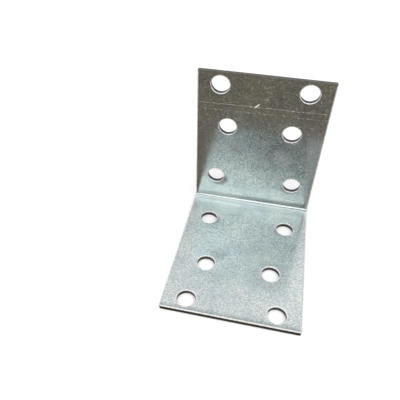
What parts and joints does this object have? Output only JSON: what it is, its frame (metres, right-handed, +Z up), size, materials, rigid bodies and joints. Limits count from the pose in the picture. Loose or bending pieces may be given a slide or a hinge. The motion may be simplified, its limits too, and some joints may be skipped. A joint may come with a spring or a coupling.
{
  "type": "angle bracket",
  "caption": "Right-angle bracket folded from zinc-plated sheet steel, with rows of punched screw holes in its equal legs, for joining timber at a corner.",
  "frame": {"origin": "under the middle of the base leg: the centre of the footprint, on the underside", "axes": "+X across the strip, +Y from the base leg's free end to the upright's back face, +Z up the upright"},
  "size_m": [0.04, 0.05, 0.05],
  "materials": {
    "zinc_plated_steel": "zinc-plated sheet, fine grain, satin"
  },
  "bodies": {
    "root": {"angle_bracket": "zinc_plated_steel"}
  },
  "joints": []
}
